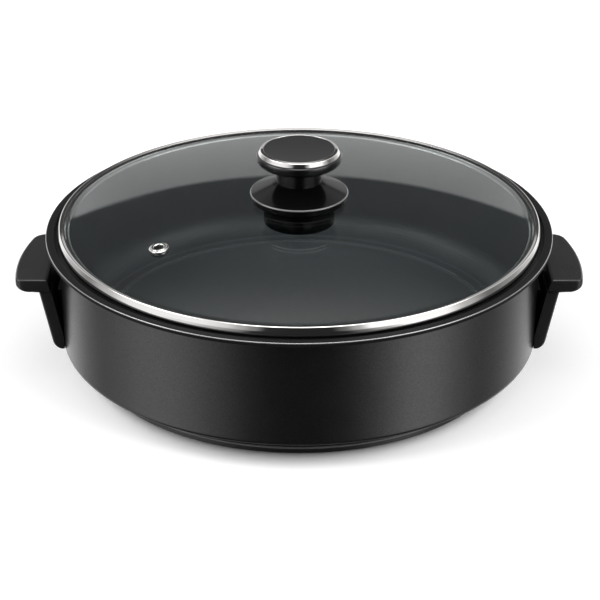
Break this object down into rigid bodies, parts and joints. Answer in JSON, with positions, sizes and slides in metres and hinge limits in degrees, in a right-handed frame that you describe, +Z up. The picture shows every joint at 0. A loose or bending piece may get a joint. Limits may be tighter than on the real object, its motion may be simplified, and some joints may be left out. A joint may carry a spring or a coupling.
{
  "type": "electric pizza maker",
  "caption": "Round black electric pan on a low base, with bracket handles at its sides and a lift-off domed glass lid with a knob and steam vent.",
  "frame": {"origin": "middle of the footprint on the table, which is the bottom centre of the bounding box", "axes": "+Z up out of the pan, front towards -Y, inlet at the back towards +Y, handles at -X and +X"},
  "size_m": [0.47, 0.42, 0.1852],
  "materials": {
    "nonstick_aluminium": "satin",
    "element_sheath": "matte",
    "contact_metal": "polished",
    "ceramic": "matte",
    "bare_aluminium": "satin",
    "zinc_steel": "satin",
    "stainless_steel": "satin",
    "polished_chrome": "polished",
    "brass": "satin",
    "black_plastic": "matte",
    "phenolic": "satin",
    "knob_cap_plastic": "satin",
    "black_rubber": "matte",
    "black_silicone": "satin",
    "tempered_glass": "polished"
  },
  "bodies": {
    "pan": {"pan_body": "nonstick_aluminium", "heater_plate": "bare_aluminium", "heating_element": "element_sheath", "element_pins": "contact_metal", "ceramic_beads": "ceramic", "element_clamp": "bare_aluminium", "clamp_screws": "zinc_steel", "heat_shield": "bare_aluminium", "base_cover": "black_plastic", "base_screws": "zinc_steel", "feet": "black_rubber", "inlet_shroud": "black_plastic", "inlet_screws": "zinc_steel", "earth_contact": "contact_metal", "earth_screw": "zinc_steel", "probe_sleeve": "stainless_steel", "left_handle": "phenolic", "right_handle": "phenolic", "left_handle_bracket": "zinc_steel", "right_handle_bracket": "zinc_steel", "left_handle_screws": "zinc_steel", "right_handle_screws": "zinc_steel"},
    "lid": {"lid_glass": "tempered_glass", "lid_band": "polished_chrome", "lid_gasket": "black_silicone", "vent_eyelet": "polished_chrome", "vent_gasket": "black_silicone", "knob_skirt": "phenolic", "knob_neck": "phenolic", "knob_head": "phenolic", "knob_ring": "polished_chrome", "knob_cap": "knob_cap_plastic", "knob_insert": "brass", "knob_screw": "stainless_steel", "knob_seal": "black_silicone", "under_seal": "black_silicone", "under_collar": "phenolic", "knob_washer": "stainless_steel"}
  },
  "joints": [
    {"name": "lid_lift", "type": "slide", "parent": "pan", "child": "lid", "axis": [0, 0, 1], "range_m": [0, 0.15]}
  ]
}
